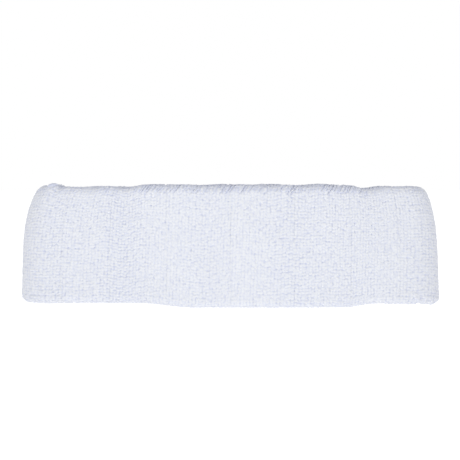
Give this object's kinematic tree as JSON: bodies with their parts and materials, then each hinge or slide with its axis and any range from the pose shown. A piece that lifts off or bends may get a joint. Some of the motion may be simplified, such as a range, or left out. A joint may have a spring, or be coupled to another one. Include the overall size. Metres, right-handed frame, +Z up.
{
  "type": "sports headband",
  "caption": "White terry knit sweatband: a double-ply elastic loop with an overcast top seam, standing on its folded rim, that opens from flat to round.",
  "frame": {"origin": "centre of the loop, on the plane of the folded bottom rim that it stands on", "axes": "+Z up through the loop, along the wearer's head; X along the resting loop's length; the front of the band faces -Y"},
  "size_m": [0.1798, 0.036, 0.0529],
  "materials": {
    "cotton_terry": "matte",
    "seam_thread": "matte",
    "covered_elastic": "matte"
  },
  "bodies": {
    "front_middle": {"front_middle_terry_wall": "cotton_terry", "front_middle_closing_seam": "seam_thread", "front_middle_elastic_web": "covered_elastic"},
    "front_right_near": {"front_right_near_terry_wall": "cotton_terry", "front_right_near_closing_seam": "seam_thread", "front_right_near_elastic_web": "covered_elastic"},
    "front_right_mid": {"front_right_mid_terry_wall": "cotton_terry", "front_right_mid_closing_seam": "seam_thread", "front_right_mid_elastic_web": "covered_elastic"},
    "front_right_far": {"front_right_far_terry_wall": "cotton_terry", "front_right_far_closing_seam": "seam_thread", "front_right_far_elastic_web": "covered_elastic"},
    "right_end": {"right_end_terry_wall": "cotton_terry", "right_end_closing_seam": "seam_thread", "right_end_elastic_web": "covered_elastic"},
    "back_right_far": {"back_right_far_terry_wall": "cotton_terry", "back_right_far_closing_seam": "seam_thread", "back_right_far_elastic_web": "covered_elastic"},
    "back_right_mid": {"back_right_mid_terry_wall": "cotton_terry", "back_right_mid_closing_seam": "seam_thread", "back_right_mid_elastic_web": "covered_elastic"},
    "back_right_near": {"back_right_near_terry_wall": "cotton_terry", "back_right_near_closing_seam": "seam_thread", "back_right_near_elastic_web": "covered_elastic"},
    "back_middle_right": {"back_middle_right_terry_wall": "cotton_terry", "back_middle_right_closing_seam": "seam_thread", "back_middle_right_elastic_web": "covered_elastic"},
    "front_left_near": {"front_left_near_terry_wall": "cotton_terry", "front_left_near_closing_seam": "seam_thread", "front_left_near_elastic_web": "covered_elastic"},
    "front_left_mid": {"front_left_mid_terry_wall": "cotton_terry", "front_left_mid_closing_seam": "seam_thread", "front_left_mid_elastic_web": "covered_elastic"},
    "front_left_far": {"front_left_far_terry_wall": "cotton_terry", "front_left_far_closing_seam": "seam_thread", "front_left_far_elastic_web": "covered_elastic", "seam_tack": "seam_thread"},
    "left_end": {"left_end_terry_wall": "cotton_terry", "left_end_closing_seam": "seam_thread", "left_end_elastic_web": "covered_elastic"},
    "back_left_far": {"back_left_far_terry_wall": "cotton_terry", "back_left_far_closing_seam": "seam_thread", "back_left_far_elastic_web": "covered_elastic"},
    "back_left_mid": {"back_left_mid_terry_wall": "cotton_terry", "back_left_mid_closing_seam": "seam_thread", "back_left_mid_elastic_web": "covered_elastic"},
    "back_left_near": {"back_left_near_terry_wall": "cotton_terry", "back_left_near_closing_seam": "seam_thread", "back_left_near_elastic_web": "covered_elastic"},
    "back_middle_left": {"back_middle_left_terry_wall": "cotton_terry", "back_middle_left_closing_seam": "seam_thread", "back_middle_left_elastic_web": "covered_elastic"}
  },
  "joints": [
    {"name": "front_right_near_fold", "type": "hinge", "parent": "front_middle", "child": "front_right_near", "pos_m": [0.015, -0.0096, 0], "axis": [0, 0, 1], "range_deg": [0, 20]},
    {"name": "front_right_mid_fold", "type": "hinge", "parent": "front_right_near", "child": "front_right_mid", "pos_m": [0.03858, -0.00901, 0], "axis": [0, 0, 1], "range_deg": [0, 20]},
    {"name": "front_right_far_fold", "type": "hinge", "parent": "front_right_mid", "child": "front_right_far", "pos_m": [0.0621, -0.00725, 0], "axis": [0, 0, 1], "range_deg": [0, 20]},
    {"name": "right_end_front_fold", "type": "hinge", "parent": "front_right_far", "child": "right_end", "pos_m": [0.08747, -0.00803, 0], "axis": [0, 0, 1], "range_deg": [-60, 0]},
    {"name": "right_end_back_fold", "type": "hinge", "parent": "right_end", "child": "back_right_far", "pos_m": [0.08747, 0.00803, 0], "axis": [0, 0, 1], "range_deg": [-60, 0]},
    {"name": "back_right_far_fold", "type": "hinge", "parent": "back_right_far", "child": "back_right_mid", "pos_m": [0.0621, 0.00725, 0], "axis": [0, 0, 1], "range_deg": [0, 20]},
    {"name": "back_right_mid_fold", "type": "hinge", "parent": "back_right_mid", "child": "back_right_near", "pos_m": [0.03858, 0.00901, 0], "axis": [0, 0, 1], "range_deg": [0, 20]},
    {"name": "back_right_near_fold", "type": "hinge", "parent": "back_right_near", "child": "back_middle_right", "pos_m": [0.015, 0.0096, 0], "axis": [0, 0, 1], "range_deg": [0, 20]},
    {"name": "front_left_near_fold", "type": "hinge", "parent": "front_middle", "child": "front_left_near", "pos_m": [-0.015, -0.0096, 0], "axis": [0, 0, 1], "range_deg": [-20, 0]},
    {"name": "front_left_mid_fold", "type": "hinge", "parent": "front_left_near", "child": "front_left_mid", "pos_m": [-0.03858, -0.00901, 0], "axis": [0, 0, 1], "range_deg": [-20, 0]},
    {"name": "front_left_far_fold", "type": "hinge", "parent": "front_left_mid", "child": "front_left_far", "pos_m": [-0.0621, -0.00725, 0], "axis": [0, 0, 1], "range_deg": [-20, 0]},
    {"name": "left_end_front_fold", "type": "hinge", "parent": "front_left_far", "child": "left_end", "pos_m": [-0.08747, -0.00803, 0], "axis": [0, 0, 1], "range_deg": [0, 60]},
    {"name": "left_end_back_fold", "type": "hinge", "parent": "left_end", "child": "back_left_far", "pos_m": [-0.08747, 0.00803, 0], "axis": [0, 0, 1], "range_deg": [0, 60]},
    {"name": "back_left_far_fold", "type": "hinge", "parent": "back_left_far", "child": "back_left_mid", "pos_m": [-0.0621, 0.00725, 0], "axis": [0, 0, 1], "range_deg": [-20, 0]},
    {"name": "back_left_mid_fold", "type": "hinge", "parent": "back_left_mid", "child": "back_left_near", "pos_m": [-0.03858, 0.00901, 0], "axis": [0, 0, 1], "range_deg": [-20, 0]},
    {"name": "back_left_near_fold", "type": "hinge", "parent": "back_left_near", "child": "back_middle_left", "pos_m": [-0.015, 0.0096, 0], "axis": [0, 0, 1], "range_deg": [-20, 0]}
  ],
  "couplings": [
    {"joint": "front_right_mid_fold", "follows": "front_right_near_fold", "ratio": 1},
    {"joint": "front_right_far_fold", "follows": "front_right_near_fold", "ratio": 1},
    {"joint": "right_end_front_fold", "follows": "front_right_near_fold", "ratio": -3},
    {"joint": "right_end_back_fold", "follows": "front_right_near_fold", "ratio": -3},
    {"joint": "back_right_far_fold", "follows": "front_right_near_fold", "ratio": 1},
    {"joint": "back_right_mid_fold", "follows": "front_right_near_fold", "ratio": 1},
    {"joint": "back_right_near_fold", "follows": "front_right_near_fold", "ratio": 1},
    {"joint": "front_left_near_fold", "follows": "front_right_near_fold", "ratio": -1},
    {"joint": "front_left_mid_fold", "follows": "front_right_near_fold", "ratio": -1},
    {"joint": "front_left_far_fold", "follows": "front_right_near_fold", "ratio": -1},
    {"joint": "left_end_front_fold", "follows": "front_right_near_fold", "ratio": 3},
    {"joint": "left_end_back_fold", "follows": "front_right_near_fold", "ratio": 3},
    {"joint": "back_left_far_fold", "follows": "front_right_near_fold", "ratio": -1},
    {"joint": "back_left_mid_fold", "follows": "front_right_near_fold", "ratio": -1},
    {"joint": "back_left_near_fold", "follows": "front_right_near_fold", "ratio": -1}
  ]
}
